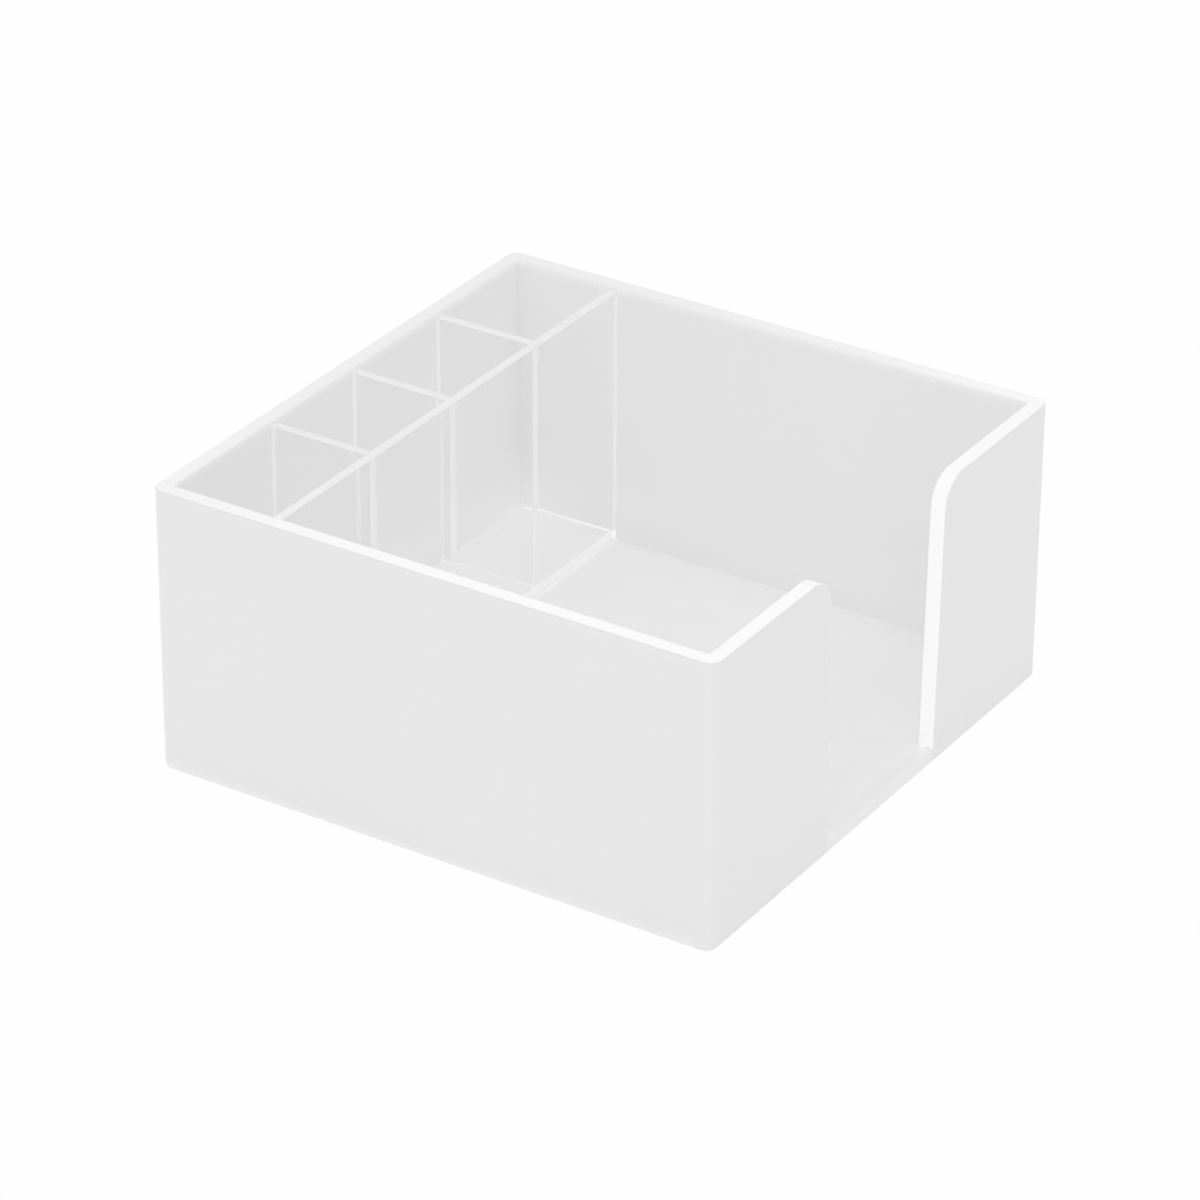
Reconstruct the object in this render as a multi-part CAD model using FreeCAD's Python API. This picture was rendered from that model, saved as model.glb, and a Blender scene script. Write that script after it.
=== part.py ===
import FreeCAD, Part
import math
import os

# Square memo holder: a bonded white case with a finger cut-out, and a clear insert of four cells.
# +X is the side with the cut-out, -Y the front, +Z up. The origin is the centre of the case's
# footprint, on the surface that it stands on. Lengths are in millimetres, angles in degrees.

# Sheets
WALL = 3.0                    # thickness of the white walls
BASE = 3.0                    # thickness of the white base, and height of the cut-out's sill
CLEAR = 2.0                   # thickness of every clear sheet

# Spaces that the case is divided into
BAY_WIDTH = 90.5              # memo bay, across X
CELL_WIDTH = 21.2             # cells and the clear floor under them, across X
FRONT_CELL = 29.7             # lengths of the four cells, along Y
SECOND_CELL = 24.4
THIRD_CELL = 26.3
REAR_CELL = 27.0
CASE_HEIGHT = 58.5
INSERT_CLEARANCE = 0.3        # between the insert and each wall beside it
INSERT_DROP = 0.6             # insert's top edges below the rim

# Finger cut-out in the right wall
CUTOUT_WIDTH = 38.5           # at the level of the floor
CUTOUT_DRAFT = 1.3            # slope of each side, which widens it towards the rim
SHOULDER_RADIUS = 6.0         # where its sides run out into the rim

# Finish of the edges
CORNER_RADIUS = 2.4           # upright corners of the case
RIM_ROUND = 0.2               # outer edges of the rim and of the cut-out
FOOT_ROUND = 0.8              # outer edges of the underside
CLEAR_ROUND = 0.25            # top edges of the clear sheets

# Worked out from the above
CELL_LENGTHS = (FRONT_CELL, SECOND_CELL, THIRD_CELL, REAR_CELL)
INSERT_LENGTH = sum(CELL_LENGTHS) + len(CELL_LENGTHS[:-1]) * CLEAR
CASE_WIDTH = 2 * WALL + INSERT_CLEARANCE + CELL_WIDTH + CLEAR + BAY_WIDTH
CASE_DEPTH = 2 * WALL + 2 * INSERT_CLEARANCE + INSERT_LENGTH
LEFT = -CASE_WIDTH / 2
RIGHT = CASE_WIDTH / 2
FRONT = -CASE_DEPTH / 2
BACK = CASE_DEPTH / 2
INSERT_LEFT = LEFT + WALL + INSERT_CLEARANCE
INSERT_FRONT = FRONT + WALL + INSERT_CLEARANCE
INSERT_BACK = INSERT_FRONT + INSERT_LENGTH
INSERT_TOP = CASE_HEIGHT - INSERT_DROP
DIVIDER_LEFT = INSERT_LEFT + CELL_WIDTH
CELL_FLOOR = BASE + CLEAR
SAME_PLACE = 1e-4             # how close two coordinates are when they are one place


def block(low, high):
    """Return the box between two opposite corners."""
    size = [b - a for a, b in zip(low, high)]
    return Part.makeBox(*size, FreeCAD.Vector(*low))


def same(a, b):
    """Tell whether two coordinates are one place."""
    return abs(a - b) < SAME_PLACE


def outline_edges(solid, height):
    """Return a solid's outermost edges that lie flat at a height."""
    outer = solid.BoundBox
    flat = [e for e in solid.Edges if same(e.BoundBox.ZMin, height) and same(e.BoundBox.ZMax, height)]
    return [
        e for e in flat
        if same(e.BoundBox.XMin, outer.XMin) or same(e.BoundBox.XMax, outer.XMax)
        or same(e.BoundBox.YMin, outer.YMin) or same(e.BoundBox.YMax, outer.YMax)
    ]


def cutout_edges(solid):
    """Return the edges that the cut-out leaves on the case's right face, its sill included."""
    return [
        e for e in solid.Edges
        if same(e.BoundBox.XMin, RIGHT) and same(e.BoundBox.XMax, RIGHT)
        and e.BoundBox.ZMin > BASE - SAME_PLACE and e.BoundBox.DiagonalLength > SAME_PLACE
        and abs(e.CenterOfMass.y) < CUTOUT_WIDTH and not same(e.BoundBox.ZMin, CASE_HEIGHT)
    ]


def cutout_tool():
    """Return the prism that opens the right wall: sloped sides that run out round at the rim."""
    slope = math.radians(CUTOUT_DRAFT)
    centre_z = CASE_HEIGHT - SHOULDER_RADIUS
    side_y = CUTOUT_WIDTH / 2 + (centre_z - BASE) * math.tan(slope)
    centre_y = side_y + SHOULDER_RADIUS / math.cos(slope)
    halfway = math.pi - (math.pi / 2 + slope) / 2

    def point(side, angle):
        """Return a point of one shoulder's arc, counted from its centre."""
        y = centre_y + SHOULDER_RADIUS * math.cos(angle)
        z = centre_z + SHOULDER_RADIUS * math.sin(angle)
        return FreeCAD.Vector(RIGHT - WALL, side * y, z)

    edges = []
    starts = {}
    for side in (-1, 1):
        floor = FreeCAD.Vector(RIGHT - WALL, side * CUTOUT_WIDTH / 2, BASE)
        low = point(side, math.pi - slope)
        high = point(side, math.pi / 2)
        edges.append(Part.LineSegment(floor, low).toShape())
        edges.append(Part.Arc(low, point(side, halfway), high).toShape())
        starts[side] = (floor, high)
    for end in range(2):
        edges.append(Part.LineSegment(starts[-1][end], starts[1][end]).toShape())
    outline = Part.Wire(Part.__sortEdges__(edges))
    return Part.Face(outline).extrude(FreeCAD.Vector(WALL, 0, 0))


def case_shell():
    """Return the whole case as one solid, from which its sheets are parted."""
    shell = block((LEFT, FRONT, 0), (RIGHT, BACK, CASE_HEIGHT))
    upright = [e for e in shell.Edges if e.BoundBox.ZLength > CASE_HEIGHT / 2]
    shell = shell.makeFillet(CORNER_RADIUS, upright)
    shell = shell.makeFillet(FOOT_ROUND, outline_edges(shell, 0))
    hollow = block((LEFT + WALL, FRONT + WALL, BASE), (RIGHT - WALL, BACK - WALL, CASE_HEIGHT))
    shell = shell.cut(hollow).cut(cutout_tool())
    return shell.makeFillet(RIM_ROUND, outline_edges(shell, CASE_HEIGHT) + cutout_edges(shell))


def case_sheets():
    """Return the case's five sheets: end walls across the full width, the rest between them."""
    shell = case_shell()
    inner_left, inner_right = LEFT + WALL, RIGHT - WALL
    inner_front, inner_back = FRONT + WALL, BACK - WALL
    spaces = {
        "front_panel": ((LEFT, FRONT, 0), (RIGHT, inner_front, CASE_HEIGHT)),
        "back_panel": ((LEFT, inner_back, 0), (RIGHT, BACK, CASE_HEIGHT)),
        "left_panel": ((LEFT, inner_front, 0), (inner_left, inner_back, CASE_HEIGHT)),
        "cutout_panel": ((inner_right, inner_front, 0), (RIGHT, inner_back, CASE_HEIGHT)),
        "base_panel": ((inner_left, inner_front, 0), (inner_right, inner_back, BASE)),
    }
    return {name: shell.common(block(*space)) for name, space in spaces.items()}


def clear_sheet(low, high):
    """Return an upright clear sheet whose long top edges are rounded."""
    sheet = block(low, high)
    top = [e for e in sheet.Edges if same(e.BoundBox.ZMin, high[2]) and e.Length > CLEAR + SAME_PLACE]
    return sheet.makeFillet(CLEAR_ROUND, top)


def insert_sheets():
    """Return the insert's clear sheets: a floor, the long divider and the cross dividers on it."""
    sheets = {
        "insert_floor": block((INSERT_LEFT, INSERT_FRONT, BASE), (DIVIDER_LEFT, INSERT_BACK, CELL_FLOOR)),
        "long_divider": clear_sheet(
            (DIVIDER_LEFT, INSERT_FRONT, BASE), (DIVIDER_LEFT + CLEAR, INSERT_BACK, INSERT_TOP)
        ),
    }
    y = INSERT_FRONT
    for number, length in enumerate(CELL_LENGTHS[:-1], start=1):
        y += length
        sheets[f"cross_divider_{number}"] = clear_sheet(
            (INSERT_LEFT, y, CELL_FLOOR), (DIVIDER_LEFT, y + CLEAR, INSERT_TOP)
        )
        y += CLEAR
    return sheets


os.makedirs("parts", exist_ok=True)
for name, shape in {**case_sheets(), **insert_sheets()}.items():
    shape.exportStep(f"parts/{name}.step")
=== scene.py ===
"""Square memo holder of glossy milky acrylic with a clear lift-out insert of four cells."""

import logging
import math
from dataclasses import dataclass
from enum import Enum
from typing import Any

import bpy
from mathutils import Matrix, Vector


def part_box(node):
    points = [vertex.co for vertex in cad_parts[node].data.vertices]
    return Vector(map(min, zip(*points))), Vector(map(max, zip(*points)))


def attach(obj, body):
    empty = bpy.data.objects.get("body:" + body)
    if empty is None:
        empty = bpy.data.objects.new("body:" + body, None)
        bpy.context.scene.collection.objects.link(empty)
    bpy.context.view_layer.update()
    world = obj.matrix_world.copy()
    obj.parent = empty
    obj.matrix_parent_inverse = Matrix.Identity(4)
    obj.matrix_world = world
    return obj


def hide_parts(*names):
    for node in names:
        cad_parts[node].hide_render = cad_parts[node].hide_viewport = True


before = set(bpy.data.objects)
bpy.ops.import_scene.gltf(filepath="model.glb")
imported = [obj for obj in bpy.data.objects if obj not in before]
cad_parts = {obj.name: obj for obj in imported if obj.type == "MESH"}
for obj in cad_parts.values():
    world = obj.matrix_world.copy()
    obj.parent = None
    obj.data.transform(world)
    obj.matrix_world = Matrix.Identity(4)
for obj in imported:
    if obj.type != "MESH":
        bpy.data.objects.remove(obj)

LOG = logging.getLogger("memo_holder")
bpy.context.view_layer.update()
MM = 0.001
AXES = ((1.0, 0.0, 0.0), (0.0, 1.0, 0.0), (0.0, 0.0, 1.0))
CUT_EDGE = "cut_edge"


class Slot(Enum):
    """The two acrylics, under the names of the record's slots."""

    WHITE = "white_acrylic"
    CLEAR = "clear_acrylic"


class Wire:
    """One output socket, on which arithmetic adds Math or Vector Math nodes."""

    def __init__(self, bench: "Bench", socket: bpy.types.NodeSocket | None) -> None:
        """Wrap a socket.

        Args:
            bench: The builder of the tree that the socket belongs to.
            socket: An output socket, or None for a node that ends the tree.
        """
        self.bench = bench
        self.socket = socket

    def is_vector(self) -> bool:
        """Return whether the socket carries three numbers."""
        return self.socket.type == "VECTOR"

    def math(self, operation: str, *values: Any, output: str | int = 0) -> "Wire":
        """Add a Math node, or a Vector Math node where a value is a vector.

        Args:
            operation: The node's operation.
            values: Its inputs in order, as wires or as numbers.
            output: The output to return, by name or number.

        Returns:
            The operation's result.
        """
        vector = any(isinstance(value, Wire) and value.is_vector() for value in values)
        kind = "ShaderNodeVectorMath" if vector else "ShaderNodeMath"
        fitted = [(value,) * 3 if vector and isinstance(value, float) else value for value in values]
        return self.bench.node(kind, {"operation": operation}, dict(enumerate(fitted)), output)

    def __add__(self, other: Any) -> "Wire":
        """Return self + other."""
        return self.math("ADD", self, other)

    def __radd__(self, other: Any) -> "Wire":
        """Return other + self."""
        return self.math("ADD", other, self)

    def __sub__(self, other: Any) -> "Wire":
        """Return self - other."""
        return self.math("SUBTRACT", self, other)

    def __rsub__(self, other: Any) -> "Wire":
        """Return other - self."""
        return self.math("SUBTRACT", other, self)

    def __mul__(self, other: Any) -> "Wire":
        """Return self * other."""
        return self.math("MULTIPLY", self, other)

    def __rmul__(self, other: Any) -> "Wire":
        """Return other * self."""
        return self.math("MULTIPLY", other, self)

    def __truediv__(self, other: Any) -> "Wire":
        """Return self / other."""
        return self.math("DIVIDE", self, other)

    def __rtruediv__(self, other: Any) -> "Wire":
        """Return other / self."""
        return self.math("DIVIDE", other, self)

    def __abs__(self) -> "Wire":
        """Return the absolute value."""
        return self.math("ABSOLUTE", self)

    def at_least(self, other: Any) -> "Wire":
        """Return the larger of self and other."""
        return self.math("MAXIMUM", self, other)

    def at_most(self, other: Any) -> "Wire":
        """Return the smaller of self and other."""
        return self.math("MINIMUM", self, other)

    def past(self, other: Any) -> "Wire":
        """Return 1 where self is larger than other, and 0 elsewhere."""
        return self.math("GREATER_THAN", self, other)

    def ramp(self, start: float, end: float) -> "Wire":
        """Return a smooth step.

        Args:
            start: The value at which the step is still 0.
            end: The value at which it has come to 1.

        Returns:
            A number between 0 and 1.
        """
        limits = {"Value": self, "From Min": start, "From Max": end}
        return self.bench.node("ShaderNodeMapRange", {"interpolation_type": "SMOOTHSTEP"}, limits)


class Bench:
    """Builds one node tree."""

    # The Mix node has several sockets of each name, so its colour sockets go by number.
    MIX_FACTOR = 0
    MIX_FIRST = 6
    MIX_SECOND = 7
    MIX_RESULT = 2

    def __init__(self, tree: bpy.types.NodeTree) -> None:
        """Take a tree and empty it."""
        self.tree = tree
        tree.nodes.clear()

    def node(self, kind: str, settings: dict[str, Any] | None = None, sockets: dict[Any, Any] | None = None,
             output: str | int = 0) -> Wire:
        """Add a node.

        Args:
            kind: The node's type.
            settings: Its properties, which are set before its sockets.
            sockets: Its inputs by name or number, as values or as wires.
            output: The output to return, by name or number.

        Returns:
            The chosen output.
        """
        made = self.tree.nodes.new(kind)
        for name, value in (settings or {}).items():
            setattr(made, name, value)
        for name, value in (sockets or {}).items():
            if isinstance(value, Wire):
                self.tree.links.new(value.socket, made.inputs[name])
            else:
                made.inputs[name].default_value = value
        return Wire(self, made.outputs[output] if made.outputs else None)

    def sibling(self, wire: Wire, output: str | int) -> Wire:
        """Return another output of the node that a wire comes from."""
        return Wire(self, wire.socket.node.outputs[output])

    def mix(self, factor: Any, first: Any, second: Any) -> Wire:
        """Add a colour mix.

        Args:
            factor: How much of the second colour there is, from 0 to 1.
            first: The colour at 0.
            second: The colour at 1.

        Returns:
            The mixed colour.
        """
        sockets = {self.MIX_FACTOR: factor, self.MIX_FIRST: first, self.MIX_SECOND: second}
        return self.node("ShaderNodeMix", {"data_type": "RGBA"}, sockets, self.MIX_RESULT)

    def blend(self, factor: Any, first: Wire, second: Wire) -> Wire:
        """Return a shader that goes from the first to the second as the factor goes from 0 to 1."""
        return self.node("ShaderNodeMixShader", {}, dict(enumerate((factor, first, second))))

    def noise(self, where: Wire, scale: float, detail: float) -> Wire:
        """Return a noise of one scale, which averages a half."""
        return self.node("ShaderNodeTexNoise", {}, {"Vector": where, "Scale": scale, "Detail": detail})

    def seen(self) -> Wire:
        """Tell what is looked at from what only lights.

        Returns:
            1 for what the camera, a reflection or a refraction shows, and 0 for the rest.
        """
        camera = self.node("ShaderNodeLightPath", output="Is Camera Ray")
        glossy = self.sibling(camera, "Is Glossy Ray")
        clear = self.sibling(camera, "Is Transmission Ray")
        diffuse = self.sibling(camera, "Is Diffuse Ray")
        return camera.at_least(glossy).at_least(clear) * (1.0 - diffuse)


def grey(level: float) -> tuple[float, float, float, float]:
    """Return a neutral colour of one level."""
    return (level, level, level, 1.0)


def material_bench(name: str) -> tuple[bpy.types.Material, Bench]:
    """Start a material.

    Args:
        name: The material's name.

    Returns:
        The material, and the builder of its empty tree.
    """
    material = bpy.data.materials.new(name)
    material.use_nodes = True
    return material, Bench(material.node_tree)


def facing(azimuth: float, elevation: float, roll: float, distance: float, target: Vector) -> Matrix:
    """Work out the place of a camera or a lamp that faces a point.

    Args:
        azimuth: Its bearing from the holder's front, in degrees.
        elevation: Its rise above the table, in degrees.
        roll: Its turn about its own line of sight, in degrees.
        distance: How far it stands from the point.
        target: The point.

    Returns:
        Its matrix in the scene.
    """
    turn, rise = math.radians(azimuth), math.radians(elevation)
    out = Vector((math.sin(turn) * math.cos(rise), -math.cos(turn) * math.cos(rise), math.sin(rise)))
    aim = out.to_track_quat("Z", "Y").to_matrix().to_4x4() @ Matrix.Rotation(math.radians(roll), 4, "Z")
    return Matrix.Translation(target + out * distance) @ aim


@dataclass(frozen=True)
class FreeEdges:
    """The edges where the white sheets end: the rim, and the round-shouldered cut-out of the right wall."""

    wall_face: float
    outer: float
    rim: float
    sill: float
    half_width: float = 19.25 * MM
    draft: float = math.radians(1.3)
    shoulder: float = 6.0 * MM
    margin: float = 0.01 * MM

    @classmethod
    def of_frame(cls) -> "FreeEdges":
        """Return the edges, placed by the walls' own boxes."""
        low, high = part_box("cutout_panel")
        return cls(wall_face=low[0], outer=high[0], rim=high[2], sill=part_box("base_panel")[1][2])

    def arc_centre(self) -> float:
        """Return how far from the middle of the cut-out its shoulders' arcs have their centres."""
        rise = self.rim - self.shoulder - self.sill
        return self.half_width + (rise * math.sin(self.draft) + self.shoulder) / math.cos(self.draft)

    def depth(self, x: Wire, y: Wire, z: Wire) -> Wire:
        """Measure how deep in its sheet a point lies.

        Args:
            x: The point's place across the holder.
            y: Its place from front to back.
            z: Its height.

        Returns:
            The distance to the nearest free edge, up to the shoulder's radius, and below 0 in the cut-out.
        """
        start = self.rim - self.shoulder
        above = (z - start).at_least(0.0)
        below = (z - start).at_most(0.0)
        aside = (self.arc_centre() - abs(y)) * math.cos(self.draft) + below * math.sin(self.draft)
        aside = aside.at_least(0.0)
        aside = aside * x.past(self.wall_face - self.margin)
        return self.shoulder - above.math("SQRT", above * above + aside * aside)


@dataclass(frozen=True)
class Spot:
    """One shaded point of the white sheets: its place, its depth in the sheet, and the faces it may be on."""

    where: Wire
    x: Wire
    y: Wire
    z: Wire
    depth: Wire
    cut: Wire
    lip: Wire
    foot: Wire
    outside: Wire


@dataclass(frozen=True)
class MilkyAcrylic:
    """Glossy white sheet, on which a glow is painted at its free edges, corners, seams and foot, as a paler
    tone and as emission.
    """

    edges: FreeEdges
    insert_foot: tuple[float, float]

    # Tones of the sheet and of the places where it ends. Face and cloud are the sheet's own tone, which
    # differs at random. The paler tones are painted glow, partly the cut edges' own finish, and the darker
    # sill and arris tones are painted shade.
    face: float = 0.97
    cloud: float = 0.008
    # Painted glow: the paler tone near the free edges, at the outer corners and at the foot.
    painted_glow_tone: float = 0.995
    # Cut edges and rims: a paler tone, partly the cut edges' own whiter finish and partly painted glow.
    cut_edge: float = 0.99
    rim_tone: float = 0.978
    # Painted shade: a darker tone on the top of the cut-out's sill.
    sill_painted_shade: float = 0.955
    # Painted shade: a darker tone along the outer arrises of the rims.
    arris_painted_shade: float = 0.915

    # Painted glow: emission that makes the sheet glow though it is no lamp. It is strongest on the cut-out's
    # edge and faint beside the free edges, at the foot, along the inner seams and under the insert, where it
    # lifts the shade.
    lit_edge: float = 0.155
    lit_near: float = 0.09
    lit_foot: float = 0.05
    lit_nook: float = 0.0255
    lit_side: float = 0.014
    lit_upright: float = 0.019
    lit_beneath: float = 0.02
    lit_joint: float = 0.015

    # How much of the painted paler tone or of the painted glow a place gets.
    near_share: float = 0.35
    foot_share: float = 0.6
    ledge_share: float = 0.45
    arc_share: float = 0.72

    # How far each of them reaches.
    edge_start: float = 0.015 * MM
    edge_end: float = 0.1 * MM
    lip_start: float = 0.6 * MM
    lip_end: float = 0.2 * MM
    arris_start: float = 0.002 * MM
    arris_end: float = 0.02 * MM
    arris_depth: float = 0.15 * MM
    arris_fade: float = 0.3 * MM
    arc_before: float = 0.2 * MM
    arc_after: float = 0.8 * MM
    near_edge: float = 2.5 * MM
    corner_start: float = 3.2 * MM
    corner_end: float = 0.4 * MM
    foot_start: float = 0.3 * MM
    foot_end: float = 2.2 * MM
    ledge_face: float = 0.3 * MM
    nook_reach: float = 20.0 * MM
    open_fade: float = 4.0 * MM
    joint_reach: float = 0.5 * MM

    # Gloss, and the patterns in it.
    ior: float = 1.49
    roughness: float = 0.09
    handled: float = 0.05
    handled_scale: float = 260.0
    handled_detail: float = 5.0
    cloud_scale: float = 35.0
    cloud_detail: float = 3.0
    peel_scale: float = 420.0
    peel_detail: float = 2.0
    peel_depth: float = 0.004 * MM

    def build(self) -> bpy.types.Material:
        """Build the finish.

        Returns:
            The material.
        """
        material, bench = material_bench(Slot.WHITE.value)
        spot = self._spot(bench)
        marks = bench.noise(spot.where, self.handled_scale, self.handled_detail)
        peel = bench.noise(spot.where, self.peel_scale, self.peel_detail)
        relief = bench.node("ShaderNodeBump", {}, {
            "Strength": 1.0, "Distance": self.peel_depth, "Height": peel})
        shader = bench.node("ShaderNodeBsdfPrincipled", {}, {
            "Base Color": self._tone(bench, spot), "Roughness": marks * self.handled + self.roughness,
            "IOR": self.ior, "Normal": relief, "Emission Color": self._painted_emission(bench, spot),
            "Emission Strength": 1.0})
        bench.node("ShaderNodeOutputMaterial", {}, {"Surface": shader})
        return material

    def _spot(self, bench: Bench) -> Spot:
        """Add the nodes that find out where on the sheets a point lies.

        Args:
            bench: The builder of the material's tree.

        Returns:
            What the rest of the material needs to know of the point.
        """
        where = bench.node("ShaderNodeTexCoord", output="Object")
        x = bench.node("ShaderNodeSeparateXYZ", {}, {"Vector": where})
        y, z = bench.sibling(x, "Y"), bench.sibling(x, "Z")
        depth = abs(self.edges.depth(x, y, z))
        above = z.ramp(self.edges.sill, self.edges.sill + self.lip_end)
        middle = (self.edges.wall_face + self.edges.outer) / 2.0
        return Spot(
            where, x, y, z, depth,
            cut=(1.0 - depth.ramp(self.edge_start, self.edge_end)) * above,
            lip=z.ramp(self.edges.rim - self.lip_start, self.edges.rim - self.lip_end),
            foot=self._foot(x, y, z),
            outside=abs(x).at_least(abs(y)).past(middle))

    def _tone(self, bench: Bench, spot: Spot) -> Wire:
        """Colour the sheet: a little cloudy at random, with a painted glow as a paler tone near its ends, at
        its outer corners and at its foot, and a painted shade as a darker tone on the sill's top and on the
        rims' outer arrises. Its cut edges are paler, partly their own finish and partly painted glow, and a
        little less pale on the rims.

        Args:
            bench: The builder of the material's tree.
            spot: The shaded point.

        Returns:
            The colour.
        """
        clouds = bench.noise(spot.where, self.cloud_scale, self.cloud_detail)
        tone = bench.mix(clouds, grey(self.face - self.cloud), grey(self.face + self.cloud))
        # Painted glow: a paler tone near the free edges, at the outer corners and at the foot.
        near = 1.0 - spot.depth.ramp(0.0, self.near_edge)
        corner = self._corner(spot.x) * self._corner(spot.y)
        pale = (near.at_least(corner) * self.near_share).at_least(spot.foot)
        tone = bench.mix(pale, tone, grey(self.painted_glow_tone))
        # Cut edges: a paler tone, partly their own whiter finish and partly painted glow, and a little less
        # pale on the rims.
        tone = bench.mix(spot.cut, tone, bench.mix(spot.lip, grey(self.cut_edge), grey(self.rim_tone)))
        # Painted shade: a darker tone on the top of the cut-out's sill.
        tone = bench.mix(self._sill(spot), tone, grey(self.sill_painted_shade))
        # Painted shade: a darker tone along the outer arrises of the rims.
        arris = spot.depth.ramp(self.arris_start, self.arris_end)
        arris = arris * (1.0 - spot.depth.ramp(self.arris_depth, self.arris_fade))
        return bench.mix(arris * spot.outside * spot.lip, tone, grey(self.arris_painted_shade))

    def _painted_emission(self, bench: Bench, spot: Spot) -> Wire:
        """Paint a glow as emission at the sheet's foot, along its seams, under the insert, and beside and on
        its edges, where it lifts the shade.

        Args:
            bench: The builder of the material's tree.
            spot: The shaded point.

        Returns:
            The painted glow, as emission.
        """
        lit = bench.mix(spot.foot, grey(0.0), grey(self.lit_foot))
        lit = bench.mix(self._nook(spot) + self._beneath(spot), lit, grey(1.0))
        near = (1.0 - (spot.depth / self.near_edge).at_most(1.0)) * (1.0 - spot.outside)
        lit = bench.mix(near * near * near * (1.0 - spot.cut), lit, grey(self.lit_near))
        return bench.mix(spot.cut * self._opening(spot), lit, grey(self.lit_edge))

    def _corner(self, along: Wire) -> Wire:
        """Return 1 at the outside of the two walls that face along one axis, and 0 inside them."""
        return abs(along).ramp(self.edges.outer - self.corner_start, self.edges.outer - self.corner_end)

    def _opening(self, spot: Spot) -> Wire:
        """Find the cut-out's edge, which gets all of its painted glow below its shoulders, and less on them.

        Args:
            spot: The shaded point.

        Returns:
            The share of the edge's painted glow, which is 0 on the rims.
        """
        top = self.edges.arc_centre()
        end = top - self.edges.shoulder
        turned = 1.0 - abs(spot.y).ramp(top - self.arc_after, top + self.arc_before)
        upright = 1.0 - abs(spot.y).ramp(end, end + self.arc_after)
        return spot.x.past(0.0) * (turned * self.arc_share + upright * (1.0 - self.arc_share))

    def _nook(self, spot: Spot) -> Wire:
        """Paint a glow along the inner seams, most of it at the floor, which lifts the shade where walls and
        floor meet.

        Args:
            spot: The shaded point.

        Returns:
            How much glow is painted there.
        """
        inside = self.edges.wall_face
        gaps = (inside - abs(spot.x), inside - abs(spot.y), spot.z - self.edges.sill)
        side, end, floor = (1.0 - gap.ramp(0.0, self.nook_reach) for gap in gaps)
        nearest = gaps[0].at_most(gaps[1]).at_most(gaps[2])
        opening = self.edges.half_width
        walled = abs(spot.y).ramp(opening - self.open_fade, opening + self.open_fade)
        side = side * (1.0 - spot.x.past(0.0) * (1.0 - walled))
        low = floor * ((side + end) * self.lit_nook + side * self.lit_side)
        upright = (1.0 - floor) * side * end * self.lit_upright
        return (low + upright) * nearest.past(-self.edges.margin)

    def _beneath(self, spot: Spot) -> Wire:
        """Paint a glow on the floor on which the insert stands, most of all along its right-hand foot, which
        lifts the shade there.

        Args:
            spot: The shaded point.

        Returns:
            How much glow is painted on the floor there.
        """
        left, right = self.insert_foot
        half = (right - left) / 2.0
        level = 1.0 - abs(spot.z - self.edges.sill).past(self.edges.margin)
        aside = abs(spot.x - (left + half)).ramp(half, half + self.joint_reach)
        covered = 1.0 - spot.x.past(right)
        return level * (covered * self.lit_beneath + (1.0 - aside) * self.lit_joint)

    def _sill(self, spot: Spot) -> Wire:
        """Find the top of the cut-out's sill, which gets a painted shade.

        Args:
            spot: The shaded point.

        Returns:
            1 there, and 0 elsewhere.
        """
        level = 1.0 - abs(spot.z - self.edges.sill).ramp(self.edges.margin, self.ledge_face)
        inside = 1.0 - abs(spot.y).past(self.edges.half_width)
        across = spot.x.past(self.edges.wall_face + self.edges.margin) * (1.0 - spot.x.past(self.edges.outer))
        return level * inside * across

    def _foot(self, x: Wire, y: Wire, z: Wire) -> Wire:
        """Find the foot of the front, back and left walls, and the outer edge of the sill.

        Args:
            x: The point's place across the holder.
            y: Its place from front to back.
            z: Its height.

        Returns:
            How much of the painted glow goes there, as paler tone and as emission.
        """
        right = x.past(self.edges.wall_face + self.edges.margin)
        low = (1.0 - z.ramp(self.foot_start, self.foot_end)) * (1.0 - right) * self.foot_share
        ledge = 1.0 - abs(y).ramp(self.edges.half_width, self.edges.half_width + self.lip_end)
        ledge = ledge * (1.0 - z.ramp(self.edges.sill, self.edges.sill + self.lip_end))
        ledge = ledge * x.past(self.edges.outer - self.ledge_face)
        return low.at_least(ledge * self.ledge_share)


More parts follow.
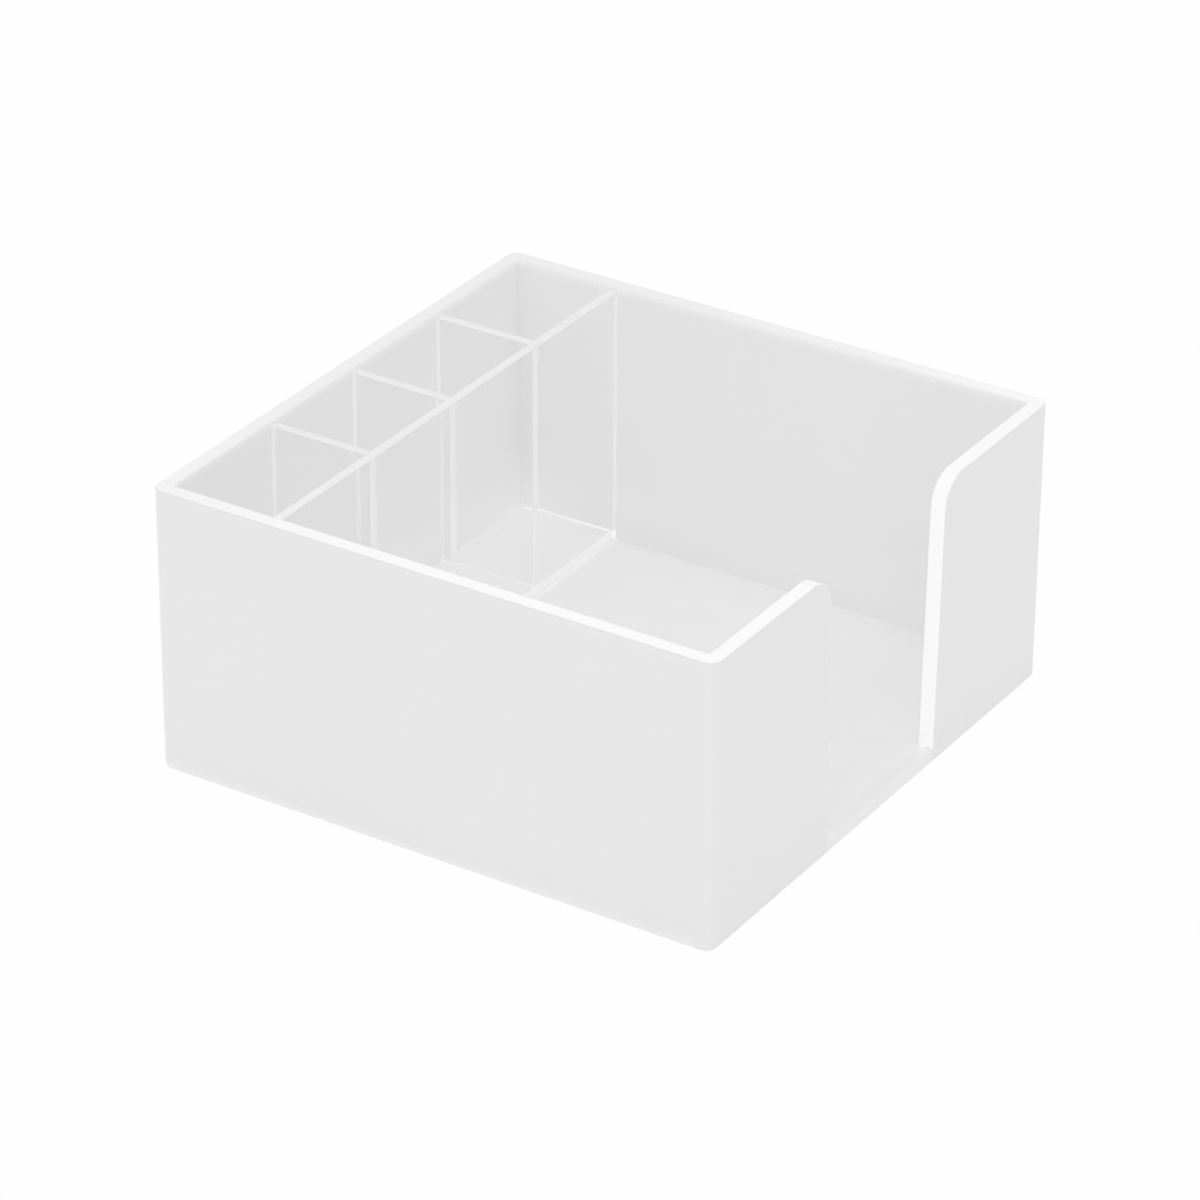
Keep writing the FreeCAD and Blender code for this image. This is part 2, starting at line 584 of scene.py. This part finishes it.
@dataclass(frozen=True)
class ClearAcrylic:
    """Clear sheet with polished faces and satin cut edges, on which a glow is painted as emission."""

    foot: float
    top: float
    back: float

    # Tones of the sheet, of its cut edges, and of those along its top.
    tint: float = 0.99
    edge: float = 0.9
    top_edge: float = 0.915

    # Painted glow, as emission, on the cut edges: along them, in the floor strip's depth, at its back, and
    # underneath.
    lit_edge: float = 0.14
    lit_foot: float = 0.195
    lit_rear: float = 0.35
    lit_under: float = 0.135

    # How far each of them reaches.
    lip_start: float = 0.2 * MM
    lip_end: float = 0.08 * MM
    foot_start: float = 1.92 * MM
    foot_end: float = 2.0 * MM
    rear_depth: float = 0.2 * MM
    under_start: float = 0.2 * MM
    under_end: float = 0.4 * MM

    # Gloss, and how much of an edge is satin.
    ior: float = 1.49
    edge_roughness: float = 0.3
    edge_share: float = 0.85
    satin_reach: float = 0.05

    def build(self) -> bpy.types.Material:
        """Build the finish.

        Returns:
            The material.
        """
        material, bench = material_bench(Slot.CLEAR.value)
        edge = bench.node("ShaderNodeAttribute", {"attribute_name": CUT_EDGE}, {}, "Fac")
        where = bench.node("ShaderNodeTexCoord", output="Object")
        y = bench.node("ShaderNodeSeparateXYZ", {}, {"Vector": where}, "Y")
        z = bench.sibling(y, "Z")
        lip = z.ramp(self.top - self.lip_start, self.top - self.lip_end)
        sheet = bench.node("ShaderNodeBsdfPrincipled", {}, {
            "Base Color": grey(self.tint), "Roughness": 0.0, "IOR": self.ior, "Transmission Weight": 1.0})
        # The satin edges carry a painted glow as emission below the top.
        satin = bench.node("ShaderNodeBsdfPrincipled", {}, {
            "Base Color": bench.mix(lip, grey(self.edge), grey(self.top_edge)), "IOR": self.ior,
            "Roughness": self.edge_roughness, "Emission Strength": 1.0,
            "Emission Color": bench.mix(lip, self._painted_emission(bench, y, z), grey(0.0))})
        whole = bench.blend(edge.ramp(0.0, self.satin_reach) * self.edge_share, sheet, satin)
        shadow = bench.node("ShaderNodeLightPath", output="Is Shadow Ray")
        lights = shadow.at_least(bench.sibling(shadow, "Is Diffuse Ray"))
        passed = bench.node("ShaderNodeBsdfTransparent", {}, {"Color": grey(1.0)})
        bench.node("ShaderNodeOutputMaterial", {}, {"Surface": bench.blend(lights, whole, passed)})
        return material

    def _painted_emission(self, bench: Bench, y: Wire, z: Wire) -> Wire:
        """Paint a glow as emission on the cut edges below the top, most of it at the foot.

        Args:
            bench: The builder of the material's tree.
            y: The point's place from front to back.
            z: Its height.

        Returns:
            The painted glow, as emission.
        """
        above_foot = z.ramp(self.foot + self.foot_start, self.foot + self.foot_end)
        above_under = z.ramp(self.foot + self.under_start, self.foot + self.under_end)
        low = bench.mix(y.past(self.back - self.rear_depth), grey(self.lit_foot), grey(self.lit_rear))
        lit = bench.mix(above_foot, low, grey(self.lit_edge))
        return bench.mix(above_under, grey(self.lit_under), lit)


@dataclass
class Case:
    """The open square box: a base and four walls, of which the right one is cut out for the fingers."""

    finish: bpy.types.Material
    panels: tuple[str, ...] = ("base_panel", "front_panel", "back_panel", "left_panel", "cutout_panel")

    def dress(self) -> None:
        """Give every panel the white finish."""
        for name in self.panels:
            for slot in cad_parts[name].material_slots:
                slot.material = self.finish
            LOG.info("case: %s in %s", name, self.finish.name)


class SheetTree:
    """The geometry tree of one flat sheet whose edges are all rounded alike."""

    INPUTS = (("Size", "NodeSocketVector"), ("Centre", "NodeSocketVector"), ("Across", "NodeSocketVector"),
              ("Edge round", "NodeSocketFloat"), ("Finish", "NodeSocketMaterial"))

    def __init__(self, steps: int) -> None:
        """Build the tree.

        Args:
            steps: How many facets lead from the middle of a rounded edge to a flat face.
        """
        self.tree = bpy.data.node_groups.new("rounded_sheet", "GeometryNodeTree")
        self.sockets = {name: self.tree.interface.new_socket(name, in_out="INPUT", socket_type=kind)
                        for name, kind in self.INPUTS}
        self.tree.interface.new_socket("Sheet", in_out="OUTPUT", socket_type="NodeSocketGeometry")
        self._fill(2 * steps + 2)

    def _fill(self, count: int) -> None:
        """Add the nodes, which turn a cube into a sheet with rounded edges.

        The middle cell of each side becomes a flat face, and the cells around it become the rounding. Their
        places go through a tangent, so that the rounding's facets turn by equal angles.

        Args:
            count: The cube's vertices along each side.
        """
        bench = Bench(self.tree)
        size = bench.node("NodeGroupInput", output="Size")
        centre, across = bench.sibling(size, "Centre"), bench.sibling(size, "Across")
        radius, finish = bench.sibling(size, "Edge round"), bench.sibling(size, "Finish")
        sides = {"Size": (2.0, 2.0, 2.0), "Vertices X": count, "Vertices Y": count, "Vertices Z": count}
        cube = bench.node("GeometryNodeMeshCube", {}, sides)
        place = bench.node("GeometryNodeInputPosition")
        flat = 1.0 / (count - 1)
        side = place.math("SIGN", place)
        excess = ((abs(place) - flat) / (1.0 - flat)).at_least(0.0)
        normal = place.math("NORMALIZE", place.math("TANGENT", excess * (math.pi / 4)) * side)
        kept = self._stored(bench, cube, "sheet_normal", "FLOAT_VECTOR", normal)
        edge = 1.0 - abs(place.math("DOT_PRODUCT", normal, across, output="Value"))
        kept = self._stored(bench, kept, CUT_EDGE, "FLOAT", edge)
        target = centre + side * (size / 2.0 - radius) + normal * radius
        kept = bench.node("GeometryNodeSetPosition", {}, {"Geometry": kept, "Position": target})
        stored = bench.node("GeometryNodeInputNamedAttribute", {"data_type": "FLOAT_VECTOR"},
                            {"Name": "sheet_normal"})
        kept = bench.node("GeometryNodeSetMeshNormal", {"mode": "FREE", "domain": "POINT"},
                          {"Mesh": kept, "Custom Normal": stored})
        kept = bench.node("GeometryNodeRealizeInstances", {}, {"Geometry": kept})
        kept = bench.node("GeometryNodeSetMaterial", {}, {"Geometry": kept, "Material": finish})
        bench.node("NodeGroupOutput", {}, {"Sheet": kept})

    @staticmethod
    def _stored(bench: Bench, mesh: Wire, name: str, kind: str, value: Wire) -> Wire:
        """Return the mesh with a value stored on its points under a name."""
        return bench.node("GeometryNodeStoreNamedAttribute", {"data_type": kind, "domain": "POINT"},
                          {"Geometry": mesh, "Name": name, "Value": value})

    def sheet(self, name: str, values: dict[str, Any]) -> bpy.types.Object:
        """Make one sheet as a plain mesh.

        Args:
            name: The piece's name.
            values: The tree's inputs by name.

        Returns:
            The sheet's object, at the origin.
        """
        piece = bpy.data.objects.new(name, bpy.data.meshes.new(name))
        bpy.context.collection.objects.link(piece)
        modifier = piece.modifiers.new("sheet", "NODES")
        modifier.node_group = self.tree
        for key, value in values.items():
            modifier[self.sockets[key].identifier] = value
        shaped = piece.evaluated_get(bpy.context.evaluated_depsgraph_get())
        mesh = bpy.data.meshes.new_from_object(shaped)
        piece.modifiers.remove(modifier)
        blank, piece.data = piece.data, mesh
        bpy.data.meshes.remove(blank)
        mesh.name = name
        return piece


@dataclass
class Insert:
    """The clear insert: a floor strip, a long divider and three cross dividers."""

    finish: bpy.types.Material
    body: str = "insert"
    air: float = 0.04 * MM
    edge_round: float = 0.12 * MM
    round_steps: int = 2
    sheets: tuple[str, ...] = ("insert_floor", "long_divider", "cross_divider_1", "cross_divider_2",
                               "cross_divider_3")

    def build(self) -> None:
        """Make every sheet in its node's place, a hair smaller so that light passes between two of them."""
        tree = SheetTree(self.round_steps)
        for name in self.sheets:
            low, high = (Vector(corner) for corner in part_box(name))
            size = high - low - Vector((2 * self.air,) * 3)
            across = AXES[min(range(3), key=lambda axis: size[axis])]
            piece = tree.sheet(f"clear_{name}", {
                "Size": size, "Centre": (low + high) / 2, "Across": across, "Edge round": self.edge_round,
                "Finish": self.finish})
            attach(piece, self.body)
            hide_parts(name)
            LOG.info("insert: %s in place of %s", piece.name, name)


@dataclass(frozen=True)
class View:
    """The camera, aimed near the holder's middle, with its focal length in pixels of the frame."""

    azimuth: float = 32.308
    elevation: float = 28.883
    roll: float = 0.348
    focal: float = 5545.7
    frame_size: float = 1200.0
    sensor: float = 36.0
    distance: float = 1039.57 * MM
    target: tuple[float, float, float] = (-2.592 * MM, 1.908 * MM, 24.0 * MM)

    def place(self) -> None:
        """Place the camera and make it the scene's own."""
        data = bpy.data.cameras.new("studio_camera")
        data.sensor_width = self.sensor
        data.lens = self.focal / self.frame_size * self.sensor
        camera = bpy.data.objects.new("studio_camera", data)
        bpy.context.collection.objects.link(camera)
        target = Vector(self.target)
        camera.matrix_world = facing(self.azimuth, self.elevation, self.roll, self.distance, target)
        bpy.context.scene.camera = camera


@dataclass(frozen=True)
class Softbox:
    """A rectangular lamp that faces the holder, and that the camera doesn't see."""

    name: str
    radiance: float
    bearing: float
    rise: float
    distance: float
    width: float
    height: float
    tilt: float = 0.0

    def hang(self) -> None:
        """Hang the lamp at its bearing and rise."""
        data = bpy.data.lights.new(self.name, "AREA")
        data.shape = "RECTANGLE"
        data.size, data.size_y = self.width, self.height
        data.energy = self.radiance * math.pi * self.width * self.height
        lamp = bpy.data.objects.new(self.name, data)
        lamp.matrix_world = facing(self.bearing, self.rise, self.tilt, self.distance, Vector())
        lamp.visible_camera = False
        bpy.context.collection.objects.link(lamp)


@dataclass(frozen=True)
class Studio:
    """The pale table, the surround and two lamps: a key above, and a strip behind that the rims reflect."""

    # The table: its reach each way, the air over it, its tone, and how much of a shadow shows on its white.
    half: float = 3.0
    air: float = 0.1 * MM
    table: float = 0.95
    shadow_share: float = 0.04

    # The surround's level, how it leans to one side, and what it gains straight above and below.
    surround: float = 0.704
    lean: tuple[float, float, float] = (0.008, -0.132, -0.203)
    zenith_rise: float = 0.357

    key: Softbox = Softbox("key", radiance=0.408, bearing=50.0, rise=65.0, distance=1.2, width=1.0,
                           height=1.0)
    strip: Softbox = Softbox("strip", radiance=1.35, bearing=212.3, rise=34.0, distance=1.6, width=1.4,
                             height=0.27, tilt=8.5)
    bounces: int = 48
    diffuse_bounces: int = 32

    def build(self) -> None:
        """Set up the floor, the world and the lamps."""
        self._floor()
        self._world()
        self.key.hang()
        self.strip.hang()
        settings = bpy.context.scene.cycles
        settings.max_bounces = self.bounces
        settings.transmission_bounces = self.bounces
        settings.glossy_bounces = self.bounces
        settings.transparent_max_bounces = self.bounces
        settings.diffuse_bounces = self.diffuse_bounces
        bpy.context.scene.view_settings.view_transform = "Standard"

    def _floor(self) -> None:
        """Lay the table, which shows white and keeps the holder's shadow."""
        mesh = bpy.data.meshes.new("table")
        corners = [(-self.half, -self.half, -self.air), (self.half, -self.half, -self.air),
                   (self.half, self.half, -self.air), (-self.half, self.half, -self.air)]
        mesh.from_pydata(corners, [], [(0, 1, 2, 3)])
        floor = bpy.data.objects.new("table", mesh)
        bpy.context.collection.objects.link(floor)
        material, bench = material_bench("table")
        paint = bench.node("ShaderNodeBsdfDiffuse", {}, {"Color": grey(self.table)})
        white = bench.node("ShaderNodeEmission", {}, {"Color": grey(1.0), "Strength": 1.0})
        share = bench.seen() * (1.0 - self.shadow_share)
        bench.node("ShaderNodeOutputMaterial", {}, {"Surface": bench.blend(share, paint, white)})
        mesh.materials.append(material)

    def _world(self) -> None:
        """Set the surround, which shows white and lights at its own level."""
        world = bpy.data.worlds.new("studio")
        world.use_nodes = True
        bench = Bench(world.node_tree)
        direction = bench.node("ShaderNodeTexCoord", output="Generated")
        up = bench.node("ShaderNodeSeparateXYZ", {}, {"Vector": direction}, "Z")
        strength = direction.math("DOT_PRODUCT", direction, self.lean, output="Value") + self.surround
        strength = strength + up * up * self.zenith_rise
        lighting = bench.node("ShaderNodeBackground", {}, {"Color": grey(1.0), "Strength": strength})
        white = bench.node("ShaderNodeBackground", {}, {"Color": grey(1.0), "Strength": 1.0})
        bench.node("ShaderNodeOutputWorld", {}, {"Surface": bench.blend(bench.seen(), lighting, white)})
        bpy.context.scene.world = world


def main() -> None:
    """Build the holder, then the studio and the camera."""
    logging.basicConfig(level=logging.INFO, format="%(name)s %(message)s")
    low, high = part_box("long_divider")
    Case(MilkyAcrylic(FreeEdges.of_frame(), insert_foot=(low[0], high[0])).build()).dress()
    Insert(ClearAcrylic(foot=low[2], top=high[2], back=high[1]).build()).build()
    Studio().build()
    View().place()


if __name__ == "__main__":
    main()
